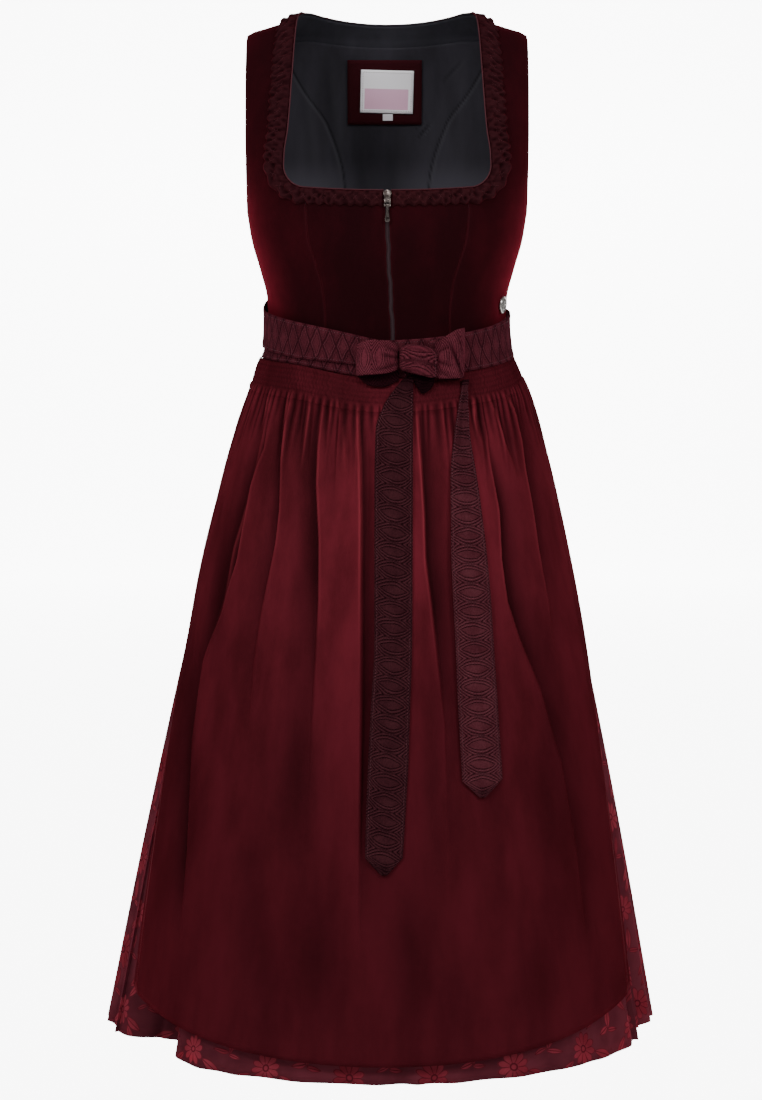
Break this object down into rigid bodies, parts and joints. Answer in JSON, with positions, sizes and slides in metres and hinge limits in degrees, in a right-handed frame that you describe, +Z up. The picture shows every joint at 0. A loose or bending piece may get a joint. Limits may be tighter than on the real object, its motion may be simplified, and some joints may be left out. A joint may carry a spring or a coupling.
{
  "type": "dirndl",
  "caption": "Sleeveless velvet dirndl with a square ruched neck, front zip, full jacquard skirt and a satin apron tied in a bow at the front.",
  "frame": {"origin": "between the shoulders, on the line in the plane of the shoulder seams where the dress is carried", "axes": "+Z up, -Y to the front of the dress, +X to the wearer's left"},
  "size_m": [0.5992, 0.4812, 1.084],
  "materials": {
    "velvet": "matt pile",
    "ruche": "matt pile",
    "lining": "plain weave",
    "label": "woven satin",
    "tape": "woven tape",
    "jacquard": "figured satin weave",
    "satin": "satin",
    "ribbon": "woven ribbon",
    "silver": "old silver"
  },
  "bodies": {
    "dress": {"bodice_front_center_left": "velvet", "bodice_front_center_right": "velvet", "bodice_front_side_left": "velvet", "bodice_front_side_right": "velvet", "bodice_back_side_left": "velvet", "bodice_back_side_right": "velvet", "bodice_back_center": "velvet", "lining_back": "lining", "neck_facing": "lining", "label_patch": "velvet", "label": "label", "size_tab": "label", "zip_tape_left": "tape", "zip_tape_right": "tape", "zip_slider": "silver", "side_button": "silver", "neck_ruche_left": "ruche", "neck_ruche_right": "ruche", "skirt_front": "jacquard", "skirt_back": "jacquard", "apron": "satin", "apron_waistband": "ribbon", "apron_tie_right": "ribbon", "apron_tie_left": "ribbon", "bow_loop_right": "ribbon", "bow_loop_left": "ribbon", "bow_knot": "ribbon", "bow_tail_right": "ribbon", "bow_tail_left": "ribbon"},
    "zip_pull_body": {"zip_pull": "silver"}
  },
  "joints": [
    {"name": "zip_pull_swing", "type": "hinge", "parent": "dress", "child": "zip_pull_body", "pos_m": [0, -0.1234, -0.1928], "axis": [-1, 0, 0], "range_deg": [0, 150]}
  ]
}
